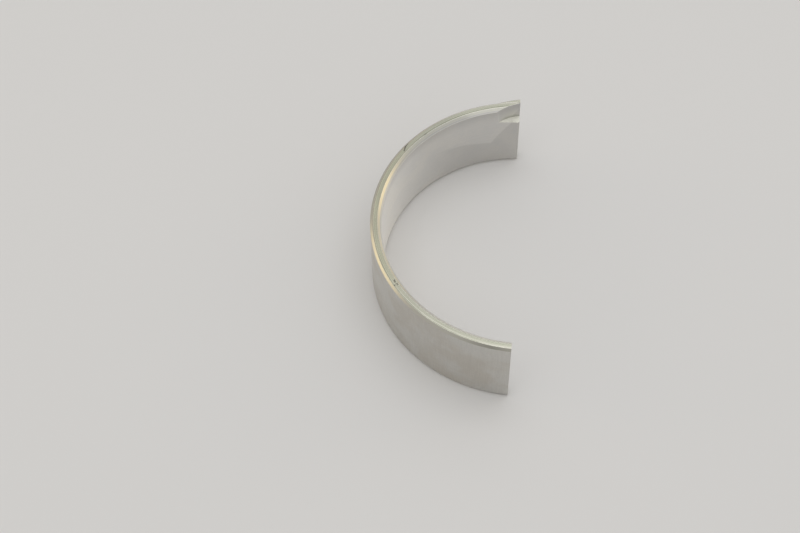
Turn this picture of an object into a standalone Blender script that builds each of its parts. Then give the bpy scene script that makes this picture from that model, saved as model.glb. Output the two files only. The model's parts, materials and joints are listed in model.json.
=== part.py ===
"""Half shell of a split plain bearing for an engine crankshaft, lying on one side face.

The shell is one bent strip, a steel back with its lining rolled on, so it is one solid. Its wall
is lofted from section to section along the arc, from the plain joint face to the joint face with
the locating lug. Metres, +Z up along the bearing's axis, crown towards -X, lug at the +Y end.
"""

import math

import bmesh
import bpy
from mathutils import Matrix, Vector

MM = 0.001

# The arc: the bore that the shell is pressed into, and how far it springs open when free
HOUSING_BORE = 63.5 * MM
CRUSH_HEIGHT = 0.05 * MM
FREE_SPREAD = 2.2 * MM

# The strip
WALL = 2.4 * MM
WIDTH = 18.5 * MM

# Chamfers along both side faces: of the back, and of the bore, across the face and down the bore
BACK_CHAMFER = 0.5 * MM
BORE_CHAMFER = 0.8 * MM
BORE_CHAMFER_DEPTH = 0.7 * MM
# Chamfer of the bore at both joints
JOINT_CHAMFER = 0.4 * MM

# The locating lug, pressed outwards at one corner, as it measures at the joint face
LUG_LENGTH = 5.2 * MM
LUG_WIDTH = 4.6 * MM
LUG_STAND_OUT = 0.85 * MM
LUG_WALL = 1.35 * MM
# The punch's mark inside it: how far its ramp bulges, and how much it flares about the lug's width
RAMP_CROWN = 0.27 * MM
PUNCH_FLARE = 0.3 * MM

# Facets along the arc, and the distance under which two points are one
ARC_FACETS = 120
SAME_POINT = 0.001 * MM

# The mesh's material slots, with the finish of each
STEEL, LINED = 0, 1
STEEL_COLOUR = (0.52, 0.51, 0.49, 1.0)
STEEL_ROUGHNESS = 0.38
LINING_COLOUR = (0.40, 0.39, 0.37, 1.0)
LINING_ROUGHNESS = 0.5


def free_arc():
    """Radius of the back and half the angle of the arc, when the shell is free.

    The strip is as long as half of the housing's circle and the crush at both joints. The half
    angle at which it spans the housing's bore and the free spread is found by halving.
    """
    length = math.pi * HOUSING_BORE / 2 + 2 * CRUSH_HEIGHT
    span = HOUSING_BORE + FREE_SPREAD
    low, high = 0.1, math.pi
    for _ in range(60):
        half_angle = (low + high) / 2
        if math.sin(half_angle) / half_angle > span / length:
            low = half_angle
        else:
            high = half_angle
    return length / (2 * half_angle), half_angle


BACK_RADIUS, HALF_ANGLE = free_arc()
BORE_RADIUS = BACK_RADIUS - WALL
LUG_ANGLE = LUG_LENGTH / BACK_RADIUS
LUG_START = HALF_ANGLE - LUG_ANGLE
LUG_RECESS = WALL + LUG_STAND_OUT - LUG_WALL
CHAMFER_SLOPE = BORE_CHAMFER_DEPTH / BORE_CHAMFER
STEP_HEIGHT = WIDTH - LUG_WIDTH


def ramp_depth(share):
    """Depth of the lug's recess below the bore, at this share of the lug's length."""
    return LUG_RECESS * share + 4 * RAMP_CROWN * share * (1 - share)


def chamfer_run_out():
    """Share of the lug's length at which its ramp has taken the whole of the bore's chamfer."""
    low, high = 0.0, 1.0
    for _ in range(60):
        share = (low + high) / 2
        if ramp_depth(share) < BORE_CHAMFER:
            low = share
        else:
            high = share
    return high


def stations():
    """Angles from the crown at which a section is drawn, from the plain joint to the lug's joint."""
    joint_edge = HALF_ANGLE - JOINT_CHAMFER / BORE_RADIUS
    chamfer_end = LUG_START + LUG_ANGLE * chamfer_run_out()
    corners = [-HALF_ANGLE, -joint_edge, LUG_START, chamfer_end, joint_edge, HALF_ANGLE]
    facet = 2 * HALF_ANGLE / ARC_FACETS
    even = [-HALF_ANGLE + facet * i for i in range(ARC_FACETS + 1)]
    between = [angle for angle in even if min(abs(angle - c) for c in corners) > facet / 4]
    return sorted(corners + between)


def section(angle):
    """Points round the wall at this angle, each a radius, a height and a material slot.

    The slot is that of the strip from the point to the next one. The points climb the bore from
    the lower side face and come down the back. Where there is no lug, the points of its ledge
    and of its step fall together.
    """
    lug_share = max(0.0, angle - LUG_START) / LUG_ANGLE
    recess = ramp_depth(lug_share)
    joint_cut = max(0.0, JOINT_CHAMFER - (HALF_ANGLE - abs(angle)) * BORE_RADIUS)
    bore = BORE_RADIUS + joint_cut
    lug_floor = BORE_RADIUS + max(joint_cut, recess)
    lug_back = BACK_RADIUS + LUG_STAND_OUT * lug_share
    ledge_height = STEP_HEIGHT + PUNCH_FLARE * (1 - 2 * lug_share)
    low_chamfer = max(0.0, BORE_RADIUS + BORE_CHAMFER - bore)
    high_chamfer = max(0.0, BORE_RADIUS + BORE_CHAMFER - lug_floor)
    return [
        (bore + low_chamfer, 0.0, STEEL),
        (bore, low_chamfer * CHAMFER_SLOPE, LINED),
        (bore, ledge_height, STEEL),
        (lug_floor, ledge_height, LINED),
        (lug_floor, WIDTH - high_chamfer * CHAMFER_SLOPE, STEEL),
        (lug_floor + high_chamfer, WIDTH, STEEL),
        (lug_back - BACK_CHAMFER, WIDTH, STEEL),
        (lug_back, WIDTH - BACK_CHAMFER, STEEL),
        (lug_back, STEP_HEIGHT, STEEL),
        (BACK_RADIUS, STEP_HEIGHT, STEEL),
        (BACK_RADIUS, BACK_CHAMFER, STEEL),
        (BACK_RADIUS - BACK_CHAMFER, 0.0, STEEL),
    ]


def loft_wall(bm):
    """Closed wall through a section at every station, with a joint face at each end."""
    rings = []
    for angle in stations():
        outward = Vector((-math.cos(angle), math.sin(angle), 0.0))
        points = [outward * radius + Vector((0.0, 0.0, height)) for radius, height, _ in section(angle)]
        rings.append([bm.verts.new(point) for point in points])
    slots = [slot for _, _, slot in section(0.0)]
    for ring, next_ring in zip(rings, rings[1:]):
        for i, slot in enumerate(slots):
            k = (i + 1) % len(slots)
            face = bm.faces.new((ring[i], ring[k], next_ring[k], next_ring[i]))
            face.material_index = slot
    bm.faces.new(rings[0])
    bm.faces.new(rings[-1])
    bmesh.ops.remove_doubles(bm, verts=bm.verts, dist=SAME_POINT)
    bmesh.ops.recalc_face_normals(bm, faces=bm.faces)


def centre_footprint(mesh):
    """Moves the mesh so that the origin is the middle of its footprint on the lower side face."""
    points = [vertex.co for vertex in mesh.vertices]
    low = Vector(map(min, *points))
    high = Vector(map(max, *points))
    middle = (low + high) / 2
    mesh.transform(Matrix.Translation((-middle.x, -middle.y, -low.z)))


def metal(name, colour, roughness):
    """A bare metal with this colour and roughness."""
    material = bpy.data.materials.new(name)
    material.use_nodes = True
    shader = material.node_tree.nodes["Principled BSDF"]
    shader.inputs["Base Color"].default_value = colour
    shader.inputs["Metallic"].default_value = 1.0
    shader.inputs["Roughness"].default_value = roughness
    return material


def build_bearing_shell():
    """The whole shell, as one object."""
    bm = bmesh.new()
    loft_wall(bm)
    mesh = bpy.data.meshes.new("bearing_shell")
    bm.to_mesh(mesh)
    bm.free()
    centre_footprint(mesh)
    mesh.materials.append(metal("steel_back", STEEL_COLOUR, STEEL_ROUGHNESS))
    mesh.materials.append(metal("lining", LINING_COLOUR, LINING_ROUGHNESS))
    mesh.shade_smooth()
    mesh.set_sharp_from_angle(angle=math.radians(25))
    shell = bpy.data.objects.new("bearing_shell", mesh)
    bpy.context.scene.collection.objects.link(shell)


def main():
    for old in list(bpy.data.objects):
        bpy.data.objects.remove(old, do_unlink=True)
    build_bearing_shell()


main()
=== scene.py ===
"""Dresses the engine bearing shell and sets it on a plain floor under soft light.

The shell is modelled here once more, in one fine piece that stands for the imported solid: the bent
strip, its turned chamfers, the pressed locating lug and the small rounds along the long edges.
Lengths are metres. Angles along the arc are measured from the crown, and grow towards the lug.
"""
import json
import math

import bmesh
import bpy
from bpy.props import FloatProperty, FloatVectorProperty, IntProperty, PointerProperty
from mathutils import Matrix, Vector


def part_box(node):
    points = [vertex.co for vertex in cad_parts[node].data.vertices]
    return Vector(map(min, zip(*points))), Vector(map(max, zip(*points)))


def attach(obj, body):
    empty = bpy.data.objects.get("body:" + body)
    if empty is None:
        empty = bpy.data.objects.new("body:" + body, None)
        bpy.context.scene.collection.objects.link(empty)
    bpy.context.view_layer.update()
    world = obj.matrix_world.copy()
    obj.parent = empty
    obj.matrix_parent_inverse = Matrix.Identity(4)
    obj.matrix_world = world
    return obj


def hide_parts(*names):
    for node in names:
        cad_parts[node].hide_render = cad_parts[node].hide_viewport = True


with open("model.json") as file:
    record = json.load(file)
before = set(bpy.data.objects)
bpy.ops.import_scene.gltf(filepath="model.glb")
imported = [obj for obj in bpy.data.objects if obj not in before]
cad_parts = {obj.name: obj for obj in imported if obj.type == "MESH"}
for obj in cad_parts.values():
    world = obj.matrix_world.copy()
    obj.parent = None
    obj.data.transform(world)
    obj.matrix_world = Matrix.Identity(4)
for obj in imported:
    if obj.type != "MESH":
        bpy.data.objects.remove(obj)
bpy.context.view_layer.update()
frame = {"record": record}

bl_info = {
    "name": "Bearing shell",
    "version": (1, 0, 0),
    "blender": (4, 5, 0),
    "location": "3D View > Sidebar > Bearing",
    "description": "Builds a plain bearing half shell, its finishes and its stage",
    "category": "Add Mesh",
}

MM = 0.001
SAME_POINT = 0.0003 * MM
NODE = "bearing_shell"
BODY = "root"


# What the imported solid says: where the bearing's axis stands, and the arc and width of the shell
def mount(name):
    """The place and the outward direction of one of the record's mounts."""
    found = next(entry for entry in frame["record"]["mounts"] if entry["name"] == name)
    return Vector(found["pos_m"]), Vector(found["axis"])


LUG_JOINT, LUG_JOINT_NORMAL = mount("lug_joint_face")
PLAIN_JOINT, PLAIN_JOINT_NORMAL = mount("plain_joint_face")
SHELL_LOW, SHELL_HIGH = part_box(NODE)
HALF_ANGLE = math.atan2(LUG_JOINT_NORMAL.x, LUG_JOINT_NORMAL.y)
AXIS_Y = (LUG_JOINT.y + PLAIN_JOINT.y) / 2
BACK_RADIUS = (AXIS_Y - SHELL_LOW.y) / math.sin(HALF_ANGLE)
AXIS_X = SHELL_LOW.x + BACK_RADIUS
AXIS = Vector((AXIS_X, AXIS_Y, 0.0))
WIDTH = SHELL_HIGH.z - SHELL_LOW.z


class ShellSizes(bpy.types.PropertyGroup):
    """The shell's section, its chamfers and its locating lug."""

    wall: FloatProperty(
        name="Wall", description="Thickness of the strip",
        default=2.4 * MM, unit="LENGTH", precision=5)
    lining: FloatProperty(
        name="Lining", description="Thickness of the bearing metal on the steel",
        default=0.32 * MM, unit="LENGTH", precision=5)
    back_chamfer: FloatProperty(
        name="Back chamfer", description="Chamfer of the back along both side faces",
        default=0.5 * MM, unit="LENGTH", precision=5)
    bore_chamfer: FloatProperty(
        name="Bore chamfer", description="Chamfer of the bore as it shows on the side face",
        default=0.8 * MM, unit="LENGTH", precision=5)
    bore_chamfer_depth: FloatProperty(
        name="Bore chamfer depth", description="Depth of that chamfer down the bore",
        default=0.7 * MM, unit="LENGTH", precision=5)
    joint_chamfer: FloatProperty(
        name="Joint chamfer", description="Chamfer of the bore at both joint faces",
        default=0.4 * MM, unit="LENGTH", precision=5)
    lug_length: FloatProperty(
        name="Lug length", description="Length of the locating lug along the arc",
        default=5.2 * MM, unit="LENGTH", precision=5)
    lug_width: FloatProperty(
        name="Lug width", description="Width of the locating lug from the side face",
        default=4.6 * MM, unit="LENGTH", precision=5)
    lug_stand_out: FloatProperty(
        name="Lug stand-out", description="How far the lug stands out from the back at the joint",
        default=0.85 * MM, unit="LENGTH", precision=5)
    lug_wall: FloatProperty(
        name="Lug wall", description="Wall that the pressing leaves at the joint",
        default=1.35 * MM, unit="LENGTH", precision=5)
    recess_twist: FloatProperty(
        name="Recess twist",
        description="How much deeper the recess is at its ledge than on average",
        default=0.15 * MM, unit="LENGTH", precision=5)
    ledge_bulge: FloatProperty(
        name="Ramp bulge at the ledge",
        description="How far the ramp bulges below a straight one at the ledge",
        default=0.29 * MM, unit="LENGTH", precision=5)
    rim_bulge: FloatProperty(
        name="Ramp bulge at the side face",
        description="How far the ramp bulges below a straight one at the side face",
        default=-0.04 * MM, unit="LENGTH", precision=5)
    rim_lead: FloatProperty(
        name="Ramp lead", description="How much sooner the ramp begins at the side face",
        default=0.7 * MM, unit="LENGTH", precision=5)
    punch_flare: FloatProperty(
        name="Punch flare",
        description="How much the recess narrows at its start and widens at the joint",
        default=0.3 * MM, unit="LENGTH", precision=5)
    edge_round: FloatProperty(
        name="Edge round", description="Round left along the long edges by tumbling",
        default=0.04 * MM, unit="LENGTH", precision=5)
    arc_steps: IntProperty(
        name="Arc steps", description="Facets along the arc", default=480, min=60, max=900)
    lug_steps: IntProperty(
        name="Lug steps", description="Facets along the back of the lug", default=31, min=8, max=90)


class ShellFinish(bpy.types.PropertyGroup):
    """The colours of the shell's metals."""

    side_steel: FloatVectorProperty(
        name="Side faces", description="Turned steel of the side faces", subtype="COLOR",
        default=(0.595, 0.58, 0.51))
    side_tint: FloatVectorProperty(
        name="Side face bands", description="Greener bands in the turned steel", subtype="COLOR",
        default=(0.475, 0.48, 0.39))
    side_olive: FloatVectorProperty(
        name="Side faces at the crown", description="Yellower turned steel at the crown",
        subtype="COLOR", default=(0.50, 0.495, 0.34))
    # This colour draws the turning tool's dark lines and the painted shade in the corner of the
    # lug's recess
    side_shade: FloatVectorProperty(
        name="Side face lines", subtype="COLOR",
        description="Dark lines of the turning tool, and the shade in the corner of the recess",
        default=(0.26, 0.28, 0.20))
    rim_tan: FloatVectorProperty(
        name="Outer rim", description="Browner steel at the outer rim of the side faces",
        subtype="COLOR", default=(0.47, 0.42, 0.32))
    chamfer_steel: FloatVectorProperty(
        name="Chamfers", description="Bright cut steel of the chamfers", subtype="COLOR",
        default=(0.74, 0.725, 0.65))
    # Painted warm reflection: the bore's chamfers are coloured yellower at the crown
    chamfer_warm_reflection: FloatVectorProperty(
        name="Chamfers at the crown", subtype="COLOR",
        description="Yellower cut steel of the bore's chamfers at the crown",
        default=(0.79, 0.73, 0.58))
    back_chamfer_steel: FloatVectorProperty(
        name="Back chamfers", description="Duller cut steel of the back's chamfers",
        subtype="COLOR", default=(0.54, 0.52, 0.45))
    back_steel: FloatVectorProperty(
        name="Back", description="Rolled steel of the back", subtype="COLOR",
        default=(0.64, 0.63, 0.60))
    back_stain: FloatVectorProperty(
        name="Back stain", description="Browner clouds on the back", subtype="COLOR",
        default=(0.60, 0.575, 0.53))
    lining_metal: FloatVectorProperty(
        name="Lining", description="Matt bearing metal of the bore", subtype="COLOR",
        default=(0.735, 0.72, 0.69))
    lining_cool: FloatVectorProperty(
        name="Lining clouds", description="Cooler clouds in the lining", subtype="COLOR",
        default=(0.70, 0.69, 0.67))
    cut_steel: FloatVectorProperty(
        name="Joint faces", description="Broached and sheared steel of the joints and the lug",
        subtype="COLOR", default=(0.62, 0.62, 0.58))
    # Steel rubbed bright on the side faces' rims, and the painted highlight line at the foot of the
    # bore's chamfers
    burnished_and_glint: FloatVectorProperty(
        name="Rubbed edges", description="Steel rubbed bright on the rims", subtype="COLOR",
        default=(0.86, 0.84, 0.77))
    torn_metal: FloatVectorProperty(
        name="Ledge", description="Pale torn metal of the ledge beside the punch's mark",
        subtype="COLOR", default=(0.86, 0.855, 0.78))
    dirt: FloatVectorProperty(
        name="Dirt", description="Dark bottom of nicks and scratches", subtype="COLOR",
        default=(0.10, 0.09, 0.08))


class StageSetup(bpy.types.PropertyGroup):
    """The floor, the lamps and the camera."""

    floor_colour: FloatVectorProperty(
        name="Floor", description="Colour of the plain floor", subtype="COLOR",
        default=(0.69, 0.68, 0.67))
    sky_level: FloatProperty(
        name="Sky level", description="Brightness of the even light all round", default=0.62)
    camera_distance: FloatProperty(
        name="Camera distance", description="Distance from the camera to the point it aims at",
        default=330.6 * MM, unit="LENGTH")
    camera_elevation: FloatProperty(
        name="Camera elevation", description="Angle of the camera above the floor",
        default=math.radians(55.816), subtype="ANGLE")
    camera_azimuth: FloatProperty(
        name="Camera azimuth", description="Angle of the camera round the shell",
        default=math.radians(5.749), subtype="ANGLE")
    camera_roll: FloatProperty(
        name="Camera roll", description="Tilt of the camera about its own axis",
        default=math.radians(-1.846), subtype="ANGLE")
    lens: FloatProperty(
        name="Lens", description="Focal length on a sensor 36 mm wide, in millimetres",
        default=66.47)


# Places along the arc

def outward(angle):
    """Direction from the bearing's axis to the wall at this angle along the arc."""
    return Vector((-math.cos(angle), math.sin(angle), 0.0))


def on_arc(radius, angle, height=0.0):
    """Point at this distance from the axis, angle along the arc and height."""
    return Vector((AXIS_X, AXIS_Y, height)) + radius * outward(angle)


def arc_through(first, last, radius):
    """Centre of the arc of this radius through two points, on the side of the bearing's axis."""
    middle = (first + last) / 2
    chord = last - first
    inwards = Vector((chord.y, -chord.x, 0.0)).normalized()
    if inwards.dot(AXIS - middle) < 0:
        inwards = -inwards
    return middle + inwards * math.sqrt(radius**2 - (chord.length / 2) ** 2)


# Modelling steps

# Facets across each small round
ROUND_SEGMENTS = 2


def start_edit(piece):
    """Makes the piece the only selected object and opens it in edit mode."""
    bpy.ops.object.select_all(action="DESELECT")
    piece.select_set(True)
    bpy.context.view_layer.objects.active = piece
    bpy.ops.object.mode_set(mode="EDIT")


def pick(piece, kind, test):
    """Selects the edges or the faces of the piece that pass the test, in edit mode."""
    bpy.ops.mesh.select_mode(type=kind)
    bpy.ops.mesh.select_all(action="DESELECT")
    form = bmesh.from_edit_mesh(piece.data)
    for element in {"EDGE": form.edges, "FACE": form.faces}[kind]:
        if test(element):
            element.select_set(True)
    bmesh.update_edit_mesh(piece.data)


def end_edit():
    """Merges points that are one, turns the faces outwards and goes back to object mode."""
    bpy.ops.mesh.select_mode(type="VERT")
    bpy.ops.mesh.select_all(action="SELECT")
    bpy.ops.mesh.remove_doubles(threshold=SAME_POINT)
    bpy.ops.mesh.normals_make_consistent(inside=False)
    bpy.ops.object.mode_set(mode="OBJECT")


def turned_bar(name, centre, arc, steps, radii, heights, chamfers, edge_round):
    """A bar turned about an upright axis, with its chamfers and its rounds drawn on the section.

    arc is the angle where it begins and how far it turns, radii are its inner and outer face,
    heights its lower and upper one. chamfers gives, for the corner on the outer (1) or inner (-1)
    and the upper (1) or lower (-1) side, how far its chamfer runs across and down.
    """
    start, sweep = arc
    spoke = outward(start)
    up = Vector((0, 0, 1))
    bpy.ops.object.select_all(action="DESELECT")
    bpy.ops.mesh.primitive_plane_add(
        size=1, location=centre + spoke * sum(radii) / 2 + up * sum(heights) / 2,
        rotation=(math.pi / 2, 0, math.pi - start))
    bar = bpy.context.object
    bar.name = name
    bar.data.name = name
    bar.scale = (radii[1] - radii[0], heights[1] - heights[0], 1)
    bpy.ops.object.transform_apply(location=True, rotation=True, scale=True)
    start_edit(bar)
    for (side, end), (across, down) in chamfers.items():
        corner = centre + spoke * radii[side > 0] + up * heights[end > 0]
        off_corner = (spoke * side * down + up * end * across).normalized()
        bpy.ops.mesh.select_all(action="SELECT")
        bpy.ops.mesh.bisect(
            plane_co=corner - spoke * side * across, plane_no=off_corner, clear_outer=True,
            threshold=SAME_POINT)
    bpy.ops.mesh.select_mode(type="VERT")
    bpy.ops.mesh.select_all(action="SELECT")
    bpy.ops.mesh.bevel(
        offset=edge_round, offset_type="OFFSET", segments=ROUND_SEGMENTS, affect="VERTICES")
    bpy.ops.mesh.select_all(action="SELECT")
    bpy.ops.mesh.spin(steps=steps, angle=sweep, center=centre, axis=up)
    pick(bar, "EDGE", lambda edge: edge.is_boundary)
    bpy.ops.mesh.fill_holes(sides=0)
    end_edit()
    return bar


def combine(piece, tool, operation):
    """Joins the tool to the piece or cuts it out of it, and removes the tool."""
    bpy.ops.object.select_all(action="DESELECT")
    piece.select_set(True)
    bpy.context.view_layer.objects.active = piece
    bpy.ops.object.modifier_add(type="BOOLEAN")
    modifier = piece.modifiers[-1]
    modifier.operation = operation
    modifier.object = tool
    modifier.solver = "EXACT"
    bpy.ops.object.modifier_apply(modifier=modifier.name)
    bpy.data.objects.remove(tool, do_unlink=True)


def trim(piece, point, normal):
    """Cuts off what lies beyond the plane, on the side that its normal points to."""
    start_edit(piece)
    bpy.ops.mesh.select_all(action="SELECT")
    bpy.ops.mesh.bisect(
        plane_co=point, plane_no=normal, use_fill=True, clear_outer=True, threshold=SAME_POINT)
    end_edit()


# Shader nodes

# Numbers of a Mix node's sockets for colours, because it uses their names more than once
MIX_SHARE, MIX_ONE, MIX_OTHER, MIX_RESULT = 0, 6, 7, 2
# How much each finer layer of the noise adds to the one before
NOISE_ROUGHNESS = 0.6


class Wire:
    """The value of a shader socket, which Python's operators turn into Math nodes."""

    def __init__(self, nodes, socket):
        self.nodes = nodes
        self.socket = socket

    def maths(self, operation, *others):
        """A Math node on this value and the others."""
        values = dict(enumerate((self, *others)))
        node = self.nodes.node("ShaderNodeMath", {"operation": operation}, values)
        return Wire(self.nodes, node.outputs[0])

    def __add__(self, other):
        return self.maths("ADD", other)

    __radd__ = __add__

    def __sub__(self, other):
        return self.maths("SUBTRACT", other)

    def __rsub__(self, other):
        return self * -1 + other

    def __mul__(self, other):
        return self.maths("MULTIPLY", other)

    __rmul__ = __mul__

    def __gt__(self, other):
        return self.maths("GREATER_THAN", other)


class Nodes:
    """A node tree that is being filled."""

    def __init__(self, tree):
        self.tree = tree

    def node(self, kind, settings, inputs):
        """Adds a node, applies its settings, and then fills or links its sockets."""
        node = self.tree.nodes.new(kind)
        for name, value in settings.items():
            setattr(node, name, value)
        for name, value in inputs.items():
            if isinstance(value, Wire):
                self.tree.links.new(value.socket, node.inputs[name])
            else:
                node.inputs[name].default_value = value
        return node

    def vector_maths(self, operation, inputs):
        """A Vector Math node, for vectors and colours."""
        node = self.node("ShaderNodeVectorMath", {"operation": operation}, inputs)
        return Wire(self, node.outputs[0])

    def rise(self, value, low, high):
        """Climbs smoothly from 0 to 1 as the value goes from low to high."""
        node = self.node("ShaderNodeMapRange", {"interpolation_type": "SMOOTHSTEP"}, {
            "Value": value, "From Min": low, "From Max": high})
        return Wire(self, node.outputs[0])

    def ridge(self, value, middle, half_width):
        """1 where the value is at the middle, and 0 from half a width away."""
        off_middle = (value - middle).maths("ABSOLUTE")
        return 1 - self.rise(off_middle, 0.0, half_width)

    def blend(self, one, other, share):
        """The one colour, and the other where the share is 1."""
        one, other = [
            colour if isinstance(colour, Wire) else (*colour, 1.0) for colour in (one, other)]
        node = self.node("ShaderNodeMix", {"data_type": "RGBA"}, {
            MIX_SHARE: share, MIX_ONE: one, MIX_OTHER: other})
        return Wire(self, node.outputs[MIX_RESULT])

    def tone(self, colour, level):
        """The colour made lighter or darker by the level."""
        return self.vector_maths("SCALE", {0: colour, "Scale": level})


class Finish(Nodes):
    """A metal whose pattern follows the shell.

    along is the length from the crown along the back, radius the distance from the bearing's
    axis, and height the height above the lower side face, all in millimetres.
    """

    def __init__(self, name):
        self.material = bpy.data.materials.new(name)
        self.material.use_nodes = True
        super().__init__(self.material.node_tree)
        self.shader = self.tree.nodes["Principled BSDF"]
        self.shader.inputs["Metallic"].default_value = 1.0
        place = Wire(self, self.node("ShaderNodeTexCoord", {}, {}).outputs["Object"])
        off_axis = self.vector_maths("SUBTRACT", {0: place, 1: AXIS})
        in_mm = self.vector_maths("SCALE", {0: off_axis, "Scale": 1 / MM})
        parts = self.node("ShaderNodeSeparateXYZ", {}, {0: in_mm})
        x, y, self.height = [Wire(self, socket) for socket in parts.outputs]
        self.radius = (x * x + y * y).maths("SQRT")
        self.along = y.maths("ARCTAN2", x * -1) * (BACK_RADIUS / MM)

    def grain(self, along, radius, height, detail=3.0):
        """Noise about 0.5, with this many spots to the millimetre in each direction."""
        spots = self.node("ShaderNodeCombineXYZ", {}, {
            0: self.along * along, 1: self.radius * radius, 2: self.height * height})
        noise = self.node("ShaderNodeTexNoise", {}, {
            "Vector": Wire(self, spots.outputs[0]), "Scale": 1.0, "Detail": detail,
            "Roughness": NOISE_ROUGHNESS})
        return Wire(self, noise.outputs[0])

    def near(self, middle, full, gone):
        """1 along the arc up to the first distance in mm from the middle, 0 from the second."""
        off_middle = (self.along - middle).maths("ABSOLUTE")
        return 1 - self.rise(off_middle, full, gone)

    def mark(self, first, last, half_width, ragged):
        """A scratch in the upper side face, from the first place to the last.

        Each place is an angle in degrees and a radius in mm. ragged shifts its edges, in mm.
        """
        reach = BACK_RADIUS / MM
        start_along, start_radius = math.radians(first[0]) * reach, first[1]
        run, climb = math.radians(last[0]) * reach - start_along, last[1] - start_radius
        length = math.hypot(run, climb)
        run, climb = run / length, climb / length
        along, across = self.along - start_along, self.radius - start_radius
        reached = (along * run + across * climb).maths("MAXIMUM", 0.0).maths("MINIMUM", length)
        off_along, off_across = along - reached * run, across - reached * climb
        distance = (off_along * off_along + off_across * off_across).maths("SQRT") + ragged
        return self.ridge(distance, 0.0, half_width) * (self.height > WIDTH / MM / 2)

    def make(self, colour, roughness, relief, relief_height):
        """Connects the colour, the roughness and the relief, which is this high in metres."""
        bump = self.node("ShaderNodeBump", {}, {
            "Strength": 1.0, "Distance": relief_height, "Height": relief})
        links = self.tree.links
        links.new(colour.socket, self.shader.inputs["Base Color"])
        links.new(roughness.socket, self.shader.inputs["Roughness"])
        links.new(bump.outputs[0], self.shader.inputs["Normal"])
        return self.material


# The shell's finishes

# Scratches and nicks in the upper side face: both ends, as an angle in degrees and a radius in
# millimetres, half the width in millimetres, and how dark each is
HANDLING_MARKS = (
    ((35.7, 32.40), (34.1, 32.26), 0.28, 1.0),
    ((34.0, 32.22), (32.2, 31.78), 0.24, 0.9),
    ((44.7, 31.33), (43.9, 31.46), 0.22, 0.7),
    ((-33.1, 31.60), (-34.0, 31.70), 0.26, 1.0),
    ((-34.9, 31.56), (-35.5, 31.58), 0.29, 0.8),
    ((-35.1, 32.14), (-35.5, 32.20), 0.28, 0.7),
    ((-3.4, 31.75), (-4.6, 31.85), 0.11, 0.35),
)
# How deep a mark is, where the turned rings are 1 deep
MARK_DEPTH = 12

# Dark lines of the turning tool in the side faces: the radius, half the width, the middle along
# the arc and half the length, all in millimetres, and how dark each is
TOOL_LINES = (
    (31.50, 0.16, 44.0, 27.0, 1.0),
    (31.69, 0.10, -42.0, 28.0, 0.6),
    (32.31, 0.24, -28.0, 20.0, 1.1),
)

# The darker patch in the bore towards the lug, in millimetres. It begins between two lengths along
# the back, and its upper rim fades between two heights at the anchor. The rim's slope is its rise
# for each millimetre along the back, and the knee's slope is added to it beyond the knee
PATCH_START = (24.0, 38.0)
PATCH_RIM = (9.4, 10.2)
PATCH_ANCHOR = 35.6
PATCH_SLOPE = -0.21
PATCH_KNEE = 43.0
PATCH_KNEE_SLOPE = 1.54


def turned_side(sizes, colours):
    """Side faces turned after bending: fine rings, tinted bands, rubbed rims and a few marks."""
    finish = Finish("turned_side_steel")
    rings = finish.grain(along=0.02, radius=4.0, height=1.0, detail=1.0)
    bands = finish.grain(along=0.012, radius=4.2, height=1.0, detail=1.0)
    clouds = finish.grain(along=0.13, radius=0.4, height=1.0)
    patches = finish.rise(finish.grain(along=0.5, radius=1.0, height=1.0), 0.35, 0.6)
    steel = finish.blend(colours.side_steel, colours.side_tint, finish.rise(bands, 0.40, 0.60))
    crown = finish.near(middle=0.0, full=12.0, gone=28.0)
    steel = finish.blend(steel, colours.side_olive, crown * 0.5)
    steel = finish.tone(steel, 0.745 + rings * 0.36 + clouds * 0.18)

    lines = 0.0
    for radius, half_width, middle, half_length, darkness in TOOL_LINES:
        reach = finish.near(middle, full=0.6 * half_length, gone=half_length)
        lines = finish.ridge(finish.radius, radius, half_width) * reach * darkness + lines
    steel = finish.blend(steel, colours.side_shade, lines * (0.40 + patches * 0.35))

    # Rubbed bright in patches along both rims, and all along the edge of the lug's recess
    bore_radius = (BACK_RADIUS - sizes.wall) / MM
    inner_rim = bore_radius + sizes.bore_chamfer / MM
    outer_rim = (BACK_RADIUS - sizes.back_chamfer) / MM
    start, depth, bulge = ramp(sizes, 1.0)
    share = (finish.along - start / MM) * (MM / (HALF_ANGLE * BACK_RADIUS - start))
    recess_rim = bore_radius + ramp_depth(share, depth / MM, bulge / MM)
    recess_edge = finish.ridge(finish.radius, recess_rim, half_width=0.22) * (share > 0)
    rims = finish.ridge(finish.radius, inner_rim, half_width=0.10)
    rims = rims + finish.ridge(finish.radius, outer_rim, half_width=0.12)
    rubbed = (rims * patches * 0.4).maths("MAXIMUM", recess_edge)
    steel = finish.blend(steel, colours.burnished_and_glint, rubbed * 0.55)

    # Lighter towards the lug, and browner along the outer rim in the middle of the arc
    lighter_to_lug = finish.rise(finish.along, 29.0, 40.0)
    steel = finish.tone(steel, 1 + lighter_to_lug * 0.17)
    tanned = finish.rise(finish.radius, outer_rim - 0.28, outer_rim - 0.04)
    tanned = tanned * finish.near(middle=10.0, full=14.0, gone=26.0)
    steel = finish.blend(steel, colours.rim_tan, tanned * 0.75)

    marks = 0.0
    ragged = (finish.grain(along=5.0, radius=5.0, height=1.0) - 0.5) * 0.3
    for first, last, half_width, darkness in HANDLING_MARKS:
        marks = finish.mark(first, last, half_width, ragged) * darkness + marks
    steel = finish.blend(steel, colours.dirt, marks.maths("MINIMUM", 0.9))
    roughness = 0.15 + rings * 0.08 + clouds * 0.06 + marks * 0.2
    relief = rings - marks * MARK_DEPTH
    return finish.make(steel, roughness, relief, relief_height=0.0006 * MM)


def lining_section(finish, sizes, wander, softness):
    """1 where the cut shows the lining, 0 on the steel. The edge wanders and is soft, in mm."""
    edge = (BACK_RADIUS - sizes.wall + sizes.lining) / MM
    return 1 - finish.rise(finish.radius + wander, edge, edge + softness)


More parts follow.
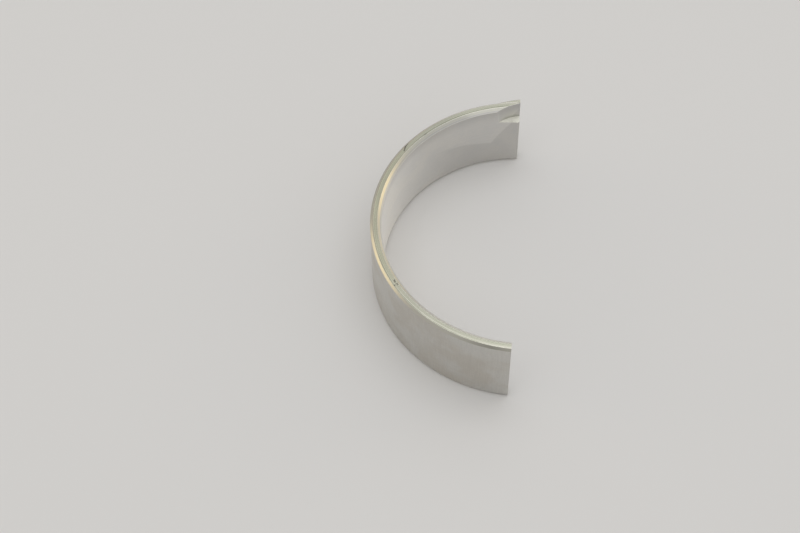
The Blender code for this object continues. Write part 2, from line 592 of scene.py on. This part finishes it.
def cut_chamfer(sizes, colours):
    """Cut chamfers. Those of the bore show the lining's edge.

    On the bore's chamfers painted reflection makes them yellower at the crown and lighter or darker
    along the arc, painted light makes them lighter on the lower side face, and a painted highlight
    runs along their foot.
    """
    finish = Finish("cut_chamfer_steel")
    rings = finish.grain(along=0.03, radius=9.0, height=1.0, detail=2.0)
    clouds = finish.grain(along=0.2, radius=0.5, height=0.5)
    outer = finish.radius > (BACK_RADIUS - sizes.wall / 2) / MM
    # Painted warm reflection on the bore's chamfers at the crown
    crown = finish.near(middle=-5.0, full=12.0, gone=24.0)
    steel = finish.blend(colours.chamfer_steel, colours.chamfer_warm_reflection, crown)
    steel = finish.blend(steel, colours.back_chamfer_steel, outer)
    steel = finish.tone(steel, 0.86 + rings * 0.18 + clouds * 0.10)
    wander = finish.grain(along=0.6, radius=0.0, height=0.0) * 0.08
    lined = lining_section(finish, sizes, wander, softness=0.06)
    metal = finish.blend(steel, finish.tone(colours.lining_metal, 0.77 + clouds * 0.2), lined)

    # Painted reflection makes the bore's chamfers darker on the way to the lug and lighter towards
    # the plain joint, and painted light makes them lighter on the lower side face
    painted_dark_stretch = finish.rise(finish.along, 8.0, 16.0) * (1 - finish.rise(finish.along, 35.0, 39.0))
    painted_bright_stretch = finish.rise(finish.along * -1, 2.0, 10.0)
    lower = 1 - (finish.height > WIDTH / MM / 2)
    metal = finish.tone(metal, 1 + (painted_bright_stretch * 0.17 - painted_dark_stretch * 0.18 + lower * 0.22) * (1 - outer))
    # A thin light line along the foot of the bore's chamfer: painted highlight of its edge
    rim = finish.ridge(finish.radius, (BACK_RADIUS - sizes.wall) / MM + 0.05, half_width=0.07)
    metal = finish.blend(metal, colours.burnished_and_glint, rim * 0.5)
    roughness = 0.24 + rings * 0.08 + clouds * 0.06 + lined * 0.14
    return finish.make(metal, roughness, rings, relief_height=0.0010 * MM)


def bored_lining(sizes, colours):
    """Matt lining with the boring tool's lines, soft clouds and the tones of the lug's recess.

    Painted light makes the crown lighter, and painted shade darkens the bore under the upper
    chamfer and in the corner of the lug's recess.
    """
    finish = Finish("bored_lining")
    lines = finish.grain(along=0.04, radius=0.0, height=13.0, detail=2.0)
    clouds = finish.grain(along=0.09, radius=0.1, height=0.12, detail=4.0)
    specks = finish.grain(along=2.2, radius=1.0, height=2.2, detail=2.0)
    cool = finish.rise(clouds, 0.40, 0.60)
    metal = finish.blend(colours.lining_metal, colours.lining_cool, cool)
    metal = finish.tone(metal, 0.84 + lines * 0.14 + clouds * 0.10 + specks * 0.08)

    # Painted light makes the bore lighter at the crown, painted shade makes it darker just under
    # the upper chamfer, and it is darker in the patch
    painted_crown_light = finish.near(middle=0.0, full=4.0, gone=30.0)
    upper_edge = (WIDTH - sizes.bore_chamfer_depth) / MM
    edge = finish.rise(finish.height, WIDTH / MM - 4.0, upper_edge)
    rim = (finish.along - PATCH_ANCHOR) * PATCH_SLOPE
    rim = rim + (finish.along - PATCH_KNEE).maths("MAXIMUM", 0.0) * PATCH_KNEE_SLOPE
    patch = 1 - finish.rise(finish.height - rim + clouds * 2, *PATCH_RIM)
    patch = patch * finish.rise(finish.along, *PATCH_START)
    metal = finish.tone(metal, 1 + painted_crown_light * 0.32 - edge * 0.14 - patch * 0.11)

    # A little darker in the lug's recess, and painted shade darkens it more in the corner over the
    # ledge
    start = ramp(sizes, 0.0)[0] / MM
    above_ledge = finish.height - ledge_height(sizes, finish.along * MM) * (1 / MM)
    recess = (above_ledge > -0.02) * finish.rise(finish.along, start, start + 0.3)
    corner = recess * (1 - finish.rise(above_ledge, 0.0, 1.2))
    corner = corner * finish.rise(finish.along, start, start + 2.0)
    metal = finish.tone(metal, 1 - recess * 0.06)
    metal = finish.blend(metal, colours.side_shade, corner * 0.3)
    roughness = 0.40 + clouds * 0.14 + specks * 0.08 + lines * 0.06
    return finish.make(metal, roughness, lines + specks * 0.5, relief_height=0.0012 * MM)


def rolled_back(colours):
    """Rolled back with a faint grain along the bearing's axis and brownish clouds."""
    finish = Finish("rolled_back_steel")
    grain = finish.grain(along=7.0, radius=0.5, height=0.35, detail=2.0)
    clouds = finish.grain(along=0.12, radius=0.1, height=0.16, detail=4.0)
    specks = finish.grain(along=1.8, radius=1.0, height=1.8)
    steel = finish.blend(colours.back_steel, colours.back_stain, finish.rise(clouds, 0.38, 0.66))
    steel = finish.tone(steel, 0.80 + grain * 0.22 + specks * 0.12)
    roughness = 0.32 + clouds * 0.14 + grain * 0.10
    return finish.make(steel, roughness, grain + specks * 0.4, relief_height=0.0012 * MM)


def torn_ledge(colours):
    """Pale torn metal of the ledge that the punch sheared along."""
    finish = Finish("torn_ledge_metal")
    streaks = finish.grain(along=0.8, radius=5.0, height=3.0, detail=2.0)
    clouds = finish.grain(along=0.9, radius=0.9, height=0.5)
    metal = finish.blend(colours.torn_metal, colours.side_steel, finish.rise(clouds, 0.45, 0.85))
    metal = finish.tone(metal, 0.90 + streaks * 0.20)
    finish.shader.inputs["Metallic"].default_value = 0.4
    roughness = 0.55 + streaks * 0.12 + clouds * 0.06
    return finish.make(metal, roughness, streaks, relief_height=0.0015 * MM)


def broached_cut(sizes, colours):
    """Broached joint faces and the sheared step of the lug, with the lining cut through."""
    finish = Finish("broached_steel")
    lines = finish.grain(along=1.0, radius=0.4, height=12.0, detail=2.0)
    clouds = finish.grain(along=0.5, radius=0.5, height=0.5)
    steel = finish.tone(colours.cut_steel, 0.84 + lines * 0.20 + clouds * 0.12)
    wander = finish.grain(along=0.5, radius=0.0, height=0.8) * 0.10
    lined = lining_section(finish, sizes, wander, softness=0.05)
    metal = finish.blend(steel, finish.tone(colours.lining_metal, 0.68 + clouds * 0.2), lined)
    roughness = 0.26 + lines * 0.12 + clouds * 0.06 + lined * 0.12
    return finish.make(metal, roughness, lines, relief_height=0.0014 * MM)


# The shell

# Extra arc at each end of the strip and of the lug's bar, to be cut off or to lie in the wall
SPARE_ANGLE = math.radians(1.5)
# The punch: the cells of its face along the arc and up the width, how many times as long and as
# wide as the recess it is, and its thickness
PUNCH_CELLS = (72, 10)
PUNCH_LENGTH = 1.6
PUNCH_WIDTH = 1.2
PUNCH_THICKNESS = 6 * MM
# Side of the block that cuts a joint's chamfer
JOINT_BLOCK = 3 * MM
# Faces that turn by less than the first angle are one plane, and less than the second one curve
PLANE_ANGLE = math.radians(0.01)
CURVE_ANGLE = math.radians(25)
# Edges under this length are slivers of the cuts
SLIVER = 0.002 * MM
# A face is level where the upward part of its normal is over LEVEL, and a chamfer where it is over
# CHAMFERED. It ends the strip where the part along the arc is over END_ON. A level face that is
# nearer than this to the shell's top or bottom is a side face
LEVEL = 0.93
CHAMFERED = 0.4
END_ON = 0.6
SIDE_FACE_DEPTH = 0.1 * MM


def bent_strip(sizes):
    """The chamfered strip bent to its arc, over-long at both joints."""
    bore_cut = (sizes.bore_chamfer, sizes.bore_chamfer_depth)
    back_cut = (sizes.back_chamfer, sizes.back_chamfer)
    half_sweep = HALF_ANGLE + SPARE_ANGLE
    return turned_bar(
        "half_shell", AXIS, (-half_sweep, 2 * half_sweep), sizes.arc_steps,
        (BACK_RADIUS - sizes.wall, BACK_RADIUS), (0.0, WIDTH),
        {(-1, 1): bore_cut, (-1, -1): bore_cut, (1, 1): back_cut, (1, -1): back_cut},
        sizes.edge_round)


def ramp(sizes, climb):
    """Where the recess begins, how deep it ends and how far its ramp bulges, in metres.

    climb goes from 0 at the ledge to 1 at the side face. The recess begins at a length along the
    back from the crown.
    """
    start = HALF_ANGLE * BACK_RADIUS - sizes.lug_length - sizes.rim_lead * climb
    depth = sizes.wall + sizes.lug_stand_out - sizes.lug_wall + sizes.recess_twist * (1 - 2 * climb)
    bulge = sizes.ledge_bulge + (sizes.rim_bulge - sizes.ledge_bulge) * climb
    return start, depth, bulge


def ramp_depth(share, depth, bulge):
    """Depth at this share of the ramp's length, a number or a shader's value."""
    return share * depth + share * (1 - share) * (4 * bulge)


def ledge_height(sizes, along):
    """Height of the ledge at this length along the back, a number or a shader's value."""
    share = (along - HALF_ANGLE * BACK_RADIUS) * (1 / sizes.lug_length) + 1
    return WIDTH - sizes.lug_width + sizes.punch_flare * (1 - 2 * share)


def shape_punch(sizes):
    """The punch: its curved face, drawn out towards the bearing's axis."""
    bpy.ops.object.select_all(action="DESELECT")
    bpy.ops.mesh.primitive_grid_add(
        x_subdivisions=PUNCH_CELLS[0], y_subdivisions=PUNCH_CELLS[1], size=1)
    punch = bpy.context.object
    for vertex in punch.data.vertices:
        share = PUNCH_LENGTH * vertex.co.x + 0.5
        climb = PUNCH_WIDTH * (vertex.co.y + 0.5)
        start, depth, bulge = ramp(sizes, climb)
        along = start + share * (HALF_ANGLE * BACK_RADIUS - start)
        radius = BACK_RADIUS - sizes.wall + ramp_depth(share, depth, bulge)
        low = ledge_height(sizes, along)
        vertex.co = on_arc(radius, along / BACK_RADIUS, low + climb * (WIDTH - low))
    start_edit(punch)
    bpy.ops.mesh.select_all(action="SELECT")
    inwards = -outward(HALF_ANGLE - sizes.lug_length / BACK_RADIUS / 2)
    bpy.ops.mesh.extrude_region_move(TRANSFORM_OT_translate={"value": inwards * PUNCH_THICKNESS})
    end_edit()
    return punch


def press_lug(shell, sizes):
    """Stands the lug out from the back and sinks the punch's mark into the bore."""
    first = on_arc(BACK_RADIUS, HALF_ANGLE - sizes.lug_length / BACK_RADIUS)
    last = on_arc(BACK_RADIUS + sizes.lug_stand_out, HALF_ANGLE)
    centre = arc_through(first, last, BACK_RADIUS)
    spoke = first - centre
    begin = math.atan2(spoke.y, -spoke.x) - SPARE_ANGLE
    turn = 2 * math.asin((last - first).length / 2 / BACK_RADIUS) + 2 * SPARE_ANGLE
    lug = turned_bar(
        "lug", centre, (begin, turn), sizes.lug_steps, (BACK_RADIUS - sizes.wall / 2, BACK_RADIUS),
        (WIDTH - sizes.lug_width, WIDTH), {(1, 1): (sizes.back_chamfer, sizes.back_chamfer)},
        sizes.edge_round)
    combine(shell, lug, "UNION")
    combine(shell, shape_punch(sizes), "DIFFERENCE")


def cut_joints(shell):
    """Cuts both joint faces flat."""
    trim(shell, LUG_JOINT, LUG_JOINT_NORMAL)
    trim(shell, PLAIN_JOINT, PLAIN_JOINT_NORMAL)


def chamfer_joints(shell, sizes):
    """Breaks the bore's edge at both joint faces."""
    bore_radius = BACK_RADIUS - sizes.wall
    half = sizes.joint_chamfer / 2
    for side in (1, -1):
        spoke = outward(side * HALF_ANGLE)
        along = side * Vector((math.sin(side * HALF_ANGLE), math.cos(side * HALF_ANGLE), 0.0))
        off_metal = (along - spoke).normalized()
        cut = on_arc(bore_radius + half, side * HALF_ANGLE, WIDTH / 2) - along * half
        bpy.ops.object.select_all(action="DESELECT")
        bpy.ops.mesh.primitive_cube_add(
            size=1, location=cut + off_metal * JOINT_BLOCK / 2,
            rotation=(0, 0, math.atan2(off_metal.y, off_metal.x)),
            scale=(JOINT_BLOCK, JOINT_BLOCK, 2 * WIDTH))
        combine(shell, bpy.context.object, "DIFFERENCE")


def resize(piece, factor):
    """Makes the piece this many times as large about the origin, unscaled."""
    piece.scale = (factor, factor, factor)
    bpy.ops.object.transform_apply(location=False, rotation=False, scale=True)


def smooth_faces(shell):
    """Merges what the cuts left in one plane, and shades the arc and the rounds smoothly.

    The rounds take the turn between the faces, which stay flat. That step weighs the faces by their
    area and takes tiny ones for nothing, so the shell is a thousand times as large for it.
    """
    start_edit(shell)
    bpy.ops.mesh.select_all(action="SELECT")
    bpy.ops.mesh.dissolve_limited(angle_limit=PLANE_ANGLE, delimit=set())
    bpy.ops.mesh.dissolve_degenerate(threshold=SLIVER)
    end_edit()
    bpy.ops.object.shade_smooth_by_angle(angle=CURVE_ANGLE)
    resize(shell, 1 / MM)
    bpy.ops.object.modifier_add(type="WEIGHTED_NORMAL")
    modifier = shell.modifiers[-1]
    modifier.keep_sharp = True
    bpy.ops.object.modifier_apply(modifier=modifier.name)
    resize(shell, MM)


def zone(face):
    """Which finish a face of the shell takes, by where it lies and which way it looks."""
    centre = face.calc_center_median()
    spoke = Vector((centre.x - AXIS_X, centre.y - AXIS_Y, 0.0)).normalized()
    radial = face.normal.dot(spoke)
    along = abs(face.normal.dot(spoke.cross(Vector((0, 0, 1)))))
    if abs(face.normal.z) > LEVEL:
        if min(centre.z, WIDTH - centre.z) < SIDE_FACE_DEPTH:
            return "side"
        return "ledge" if face.normal.z > 0 else "cut"
    if along > END_ON:
        return "cut"
    if abs(face.normal.z) > CHAMFERED:
        return "chamfer"
    return "back" if radial > 0 else "lining"


def dress(shell, sizes, colours):
    """Gives each zone of the shell its finish."""
    finishes = {
        "side": turned_side(sizes, colours),
        "chamfer": cut_chamfer(sizes, colours),
        "lining": bored_lining(sizes, colours),
        "back": rolled_back(colours),
        "cut": broached_cut(sizes, colours),
        "ledge": torn_ledge(colours),
    }
    for material in finishes.values():
        shell.data.materials.append(material)
    start_edit(shell)
    for slot, name in enumerate(finishes):
        pick(shell, "FACE", lambda face: zone(face) == name)
        shell.active_material_index = slot
        bpy.ops.object.material_slot_assign()
    bpy.ops.object.mode_set(mode="OBJECT")


class BEARING_OT_shell(bpy.types.Operator):
    """Models the bearing shell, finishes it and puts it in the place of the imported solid"""

    bl_idname = "bearing.shell"
    bl_label = "Build Bearing Shell"

    def execute(self, context):
        sizes = context.scene.shell_sizes
        shell = bent_strip(sizes)
        press_lug(shell, sizes)
        cut_joints(shell)
        chamfer_joints(shell, sizes)
        smooth_faces(shell)
        dress(shell, sizes, context.scene.shell_finish)
        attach(shell, BODY)
        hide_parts(NODE)
        return {"FINISHED"}


# The stage

# Name, distance in metres, angle round the shell from +X and above the floor in degrees, size in
# metres, brightness of the lamp's face, and colour
LAMPS = (
    ("overhead", 0.70, 90.0, 90.0, (0.78, 0.78), 0.92, (1.0, 1.0, 0.98)),
    ("high_back", 0.70, 90.0, 44.0, (0.50, 0.12), 0.30, (1.0, 1.0, 0.98)),
    ("warm_right", 0.60, 22.0, 15.0, (0.30, 0.28), 0.70, (1.0, 0.80, 0.44)),
    ("warm_left", 0.60, 173.0, 10.0, (0.38, 0.22), 1.25, (1.0, 0.80, 0.43)),
)
# The dark panel at the front: its angles as for the lamps, its half width and soft edge in degrees,
# and the share of the light that it takes away
DARK_PANEL = (-108.0, 30.0, 4.0, 8.0, 0.85)
# The floor: its width in metres, and the roughness and gloss of its paint
FLOOR_SIZE = 6.0
FLOOR_ROUGHNESS = 0.6
FLOOR_GLOSS = 0.2
# The point on the floor that the camera aims at: how far it lies from the bearing's axis towards
# the crown and away from the lug, as shares of the back's radius
AIM_TO_CROWN = 0.8143
AIM_OFF_LUG = 0.0407
# Width of the camera's sensor in millimetres, and how near and how far it sees in metres
SENSOR_WIDTH = 36.0
NEAREST, FARTHEST = 0.01, 20.0


def direction(azimuth, elevation):
    """Unit vector towards a place given by its angles in degrees."""
    azimuth, elevation = math.radians(azimuth), math.radians(elevation)
    return Vector((
        math.cos(azimuth) * math.cos(elevation), math.sin(azimuth) * math.cos(elevation),
        math.sin(elevation)))


def add_lamp(name, distance, azimuth, elevation, size, brightness, colour):
    """A soft rectangular lamp that looks at the shell and that the camera doesn't see.

    brightness is that of its face, so its power also grows with its size.
    """
    towards = direction(azimuth, elevation)
    bpy.ops.object.select_all(action="DESELECT")
    bpy.ops.object.light_add(type="AREA", location=towards * distance)
    lamp = bpy.context.object
    lamp.name = name
    lamp.data.shape = "RECTANGLE"
    lamp.data.size, lamp.data.size_y = size
    lamp.data.energy = brightness * math.pi * size[0] * size[1]
    lamp.data.color = colour
    lamp.rotation_euler = towards.to_track_quat("Z", "Y").to_euler()
    lamp.visible_camera = False


def studio_sky(level):
    """Even light all round, but for the dark panel."""
    world = bpy.data.worlds.new("studio")
    world.use_nodes = True
    nodes = Nodes(world.node_tree)
    azimuth, elevation, half_width, soft_edge, taken = DARK_PANEL
    looked = Wire(nodes, nodes.node("ShaderNodeTexCoord", {}, {}).outputs["Generated"])
    dot = nodes.node("ShaderNodeVectorMath", {"operation": "DOT_PRODUCT"}, {
        0: looked, 1: direction(azimuth, elevation)})
    rim = math.cos(math.radians(half_width + soft_edge))
    core = math.cos(math.radians(half_width))
    panel = nodes.rise(Wire(nodes, dot.outputs["Value"]), rim, core)
    strength = level - panel * (level * taken)
    background = nodes.tree.nodes["Background"]
    nodes.tree.links.new(strength.socket, background.inputs["Strength"])
    background.inputs["Color"].default_value = (1, 1, 1, 1)
    return world


class BEARING_OT_stage(bpy.types.Operator):
    """Adds the floor, the lamps and the camera"""

    bl_idname = "bearing.stage"
    bl_label = "Set Stage"

    def execute(self, context):
        setup = context.scene.stage_setup
        bpy.ops.object.select_all(action="DESELECT")
        bpy.ops.mesh.primitive_plane_add(size=FLOOR_SIZE, location=(0, 0, 0))
        floor = bpy.context.object
        floor.name = "floor"
        paint = bpy.data.materials.new("pale_floor")
        paint.use_nodes = True
        shader = paint.node_tree.nodes["Principled BSDF"]
        shader.inputs["Base Color"].default_value = (*setup.floor_colour, 1)
        shader.inputs["Roughness"].default_value = FLOOR_ROUGHNESS
        shader.inputs["Specular IOR Level"].default_value = FLOOR_GLOSS
        floor.data.materials.append(paint)

        context.scene.world = studio_sky(setup.sky_level)
        for lamp in LAMPS:
            add_lamp(*lamp)

        bpy.ops.object.camera_add()
        camera = bpy.context.object
        camera.name = "camera"
        camera.data.lens = setup.lens
        camera.data.sensor_width = SENSOR_WIDTH
        target = Vector((
            AXIS_X - AIM_TO_CROWN * BACK_RADIUS, AXIS_Y - AIM_OFF_LUG * BACK_RADIUS, 0))
        turn = (Matrix.Rotation(setup.camera_azimuth, 4, "Z")
                @ Matrix.Rotation(math.pi / 2 - setup.camera_elevation, 4, "X")
                @ Matrix.Rotation(setup.camera_roll, 4, "Z"))
        back = turn.to_3x3() @ Vector((0, 0, 1))
        camera.matrix_world = Matrix.Translation(target + back * setup.camera_distance) @ turn
        camera.data.clip_start = NEAREST
        camera.data.clip_end = FARTHEST
        context.scene.camera = camera
        context.scene.view_settings.view_transform = "Standard"
        return {"FINISHED"}


class BEARING_PT_panel(bpy.types.Panel):
    """Sizes, finishes and the two build steps"""

    bl_idname = "BEARING_PT_panel"
    bl_label = "Bearing Shell"
    bl_space_type = "VIEW_3D"
    bl_region_type = "UI"
    bl_category = "Bearing"

    def draw(self, context):
        scene = context.scene
        for group in (scene.shell_sizes, scene.shell_finish, scene.stage_setup):
            box = self.layout.box()
            for name in group.__annotations__:
                box.prop(group, name)
        self.layout.operator(BEARING_OT_shell.bl_idname)
        self.layout.operator(BEARING_OT_stage.bl_idname)


CLASSES = (
    ShellSizes, ShellFinish, StageSetup, BEARING_OT_shell, BEARING_OT_stage, BEARING_PT_panel)


def register():
    """Adds the classes, and the settings to every scene."""
    for cls in CLASSES:
        bpy.utils.register_class(cls)
    bpy.types.Scene.shell_sizes = PointerProperty(type=ShellSizes)
    bpy.types.Scene.shell_finish = PointerProperty(type=ShellFinish)
    bpy.types.Scene.stage_setup = PointerProperty(type=StageSetup)


def unregister():
    """Takes the settings and the classes away again."""
    del bpy.types.Scene.stage_setup
    del bpy.types.Scene.shell_finish
    del bpy.types.Scene.shell_sizes
    for cls in reversed(CLASSES):
        bpy.utils.unregister_class(cls)


def main():
    """Builds the shell and the stage."""
    register()
    bpy.ops.bearing.shell()
    bpy.ops.bearing.stage()


if __name__ == "__main__":
    main()
